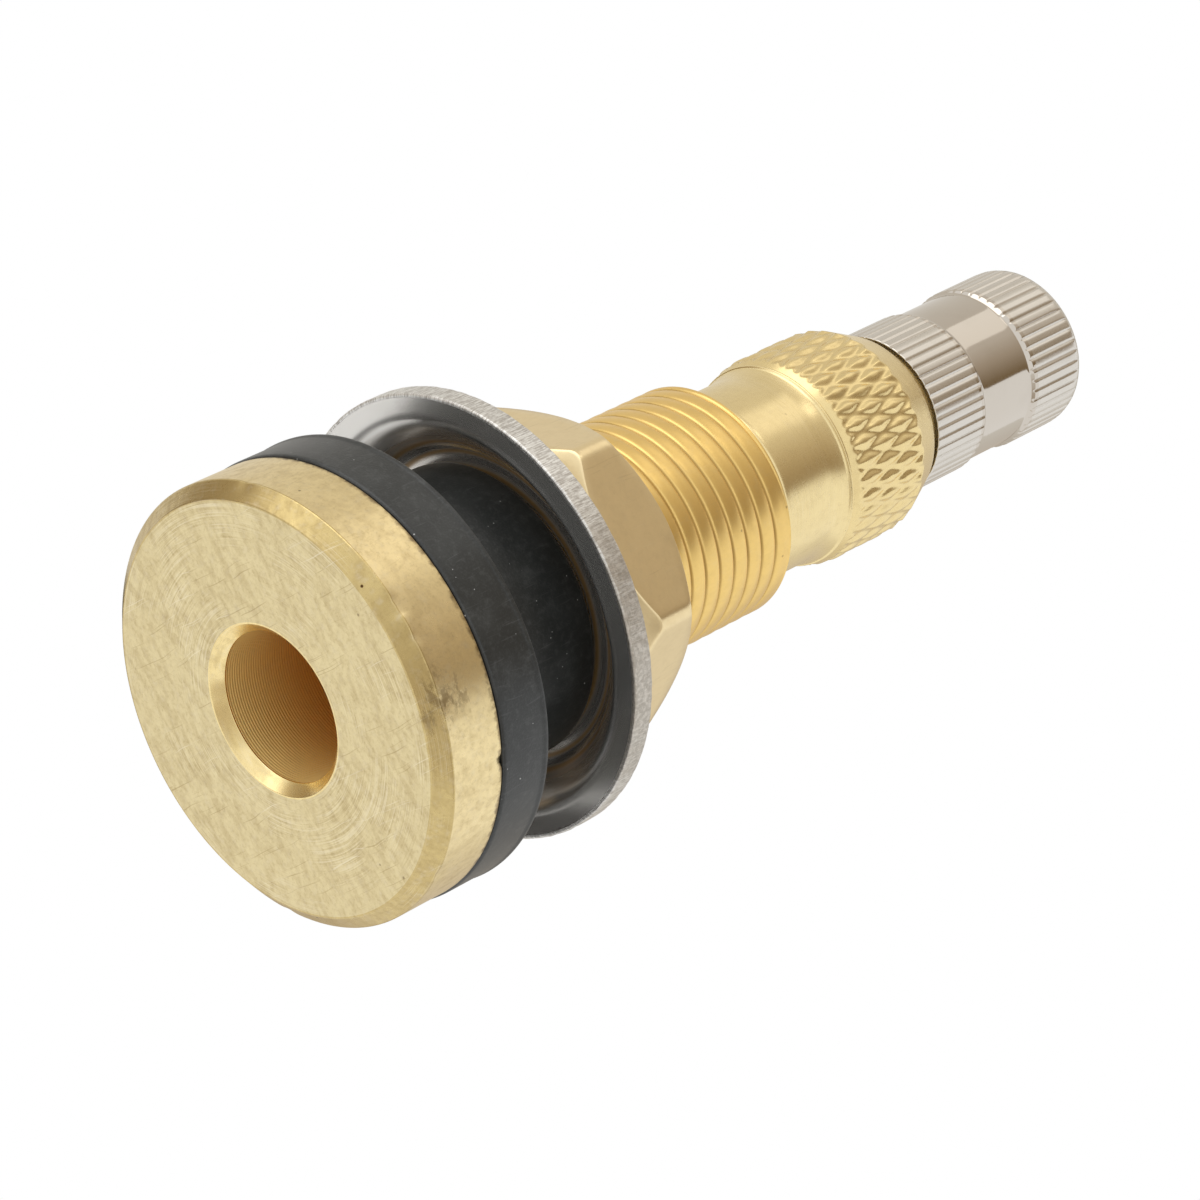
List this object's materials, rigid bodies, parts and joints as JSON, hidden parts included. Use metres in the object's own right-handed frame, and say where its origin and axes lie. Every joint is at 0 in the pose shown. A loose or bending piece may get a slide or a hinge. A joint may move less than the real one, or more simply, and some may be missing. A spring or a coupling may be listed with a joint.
{
  "type": "tyre valve",
  "caption": "Clamp-in brass tyre valve with a large bore: flanged stem, rubber grommet, dished washer, hexagon nut, knurled core housing and a fluted screw cap.",
  "frame": {"origin": "centre of the flange face that the valve stands on", "axes": "+Z along the stem from the flange to the cap; two flats of the hexagon nut face +Y and -Y"},
  "size_m": [0.0242, 0.024, 0.0587],
  "materials": {
    "stem_brass": "turned brass, lightly tarnished",
    "black_rubber": "satin black moulded rubber",
    "washer_nickel": "bright nickel plate on a pressed steel washer, rough sheared edge",
    "nut_brass": "satin drawn brass",
    "housing_brass": "turned and knurled brass",
    "core_brass": "small turned brass pieces",
    "white_seal": "white fluoroplastic",
    "spring_steel": "drawn spring wire",
    "seal_rubber": "black seal rubber",
    "cap_nickel": "satin nickel plate"
  },
  "bodies": {
    "stem": {"stem": "stem_brass", "rubber_grommet": "black_rubber"},
    "washer": {"dished_washer": "washer_nickel"},
    "nut": {"hex_nut": "nut_brass"},
    "gasket": {"housing_gasket": "seal_rubber"},
    "housing": {"core_housing": "housing_brass", "core_plug": "core_brass", "core_barrel": "core_brass", "barrel_seal": "white_seal", "core_spring": "spring_steel"},
    "pin": {"core_pin": "core_brass", "seat_cup": "core_brass", "seat_seal": "seal_rubber"},
    "cap_disc": {"cap_gasket": "seal_rubber"},
    "cap": {"cap": "cap_nickel"}
  },
  "joints": [
    {"name": "washer_slide", "type": "slide", "parent": "stem", "child": "washer", "axis": [0, 0, 1], "range_m": [0, 0.0099]},
    {"name": "nut_turn", "type": "hinge", "parent": "washer", "child": "nut", "pos_m": [0, 0, 0.019], "axis": [0, 0, 1], "range_deg": [0, 3300]},
    {"name": "housing_rise", "type": "slide", "parent": "stem", "child": "gasket", "axis": [0, 0, 1], "range_m": [0, 0.0079]},
    {"name": "housing_turn", "type": "hinge", "parent": "gasket", "child": "housing", "pos_m": [0, 0, 0.04], "axis": [0, 0, 1], "range_deg": [0, 3200]},
    {"name": "cap_rise", "type": "slide", "parent": "housing", "child": "cap_disc", "axis": [0, 0, 1], "range_m": [0, 0.012]},
    {"name": "cap_turn", "type": "hinge", "parent": "cap_disc", "child": "cap", "pos_m": [0, 0, 0.05], "axis": [0, 0, 1], "range_deg": [0, 5450]},
    {"name": "pin_press", "type": "slide", "parent": "housing", "child": "pin", "axis": [0, 0, 1], "range_m": [-0.0015, 0], "stiffness_N_per_m": 1500, "springref_m": 0.003, "deforming": ["core_spring"]}
  ],
  "couplings": [
    {"joint": "nut_turn", "follows": "washer_slide", "rad_per_m": 5764.4},
    {"joint": "housing_turn", "follows": "housing_rise", "rad_per_m": 6981.3},
    {"joint": "cap_turn", "follows": "cap_rise", "rad_per_m": 7913.3}
  ]
}
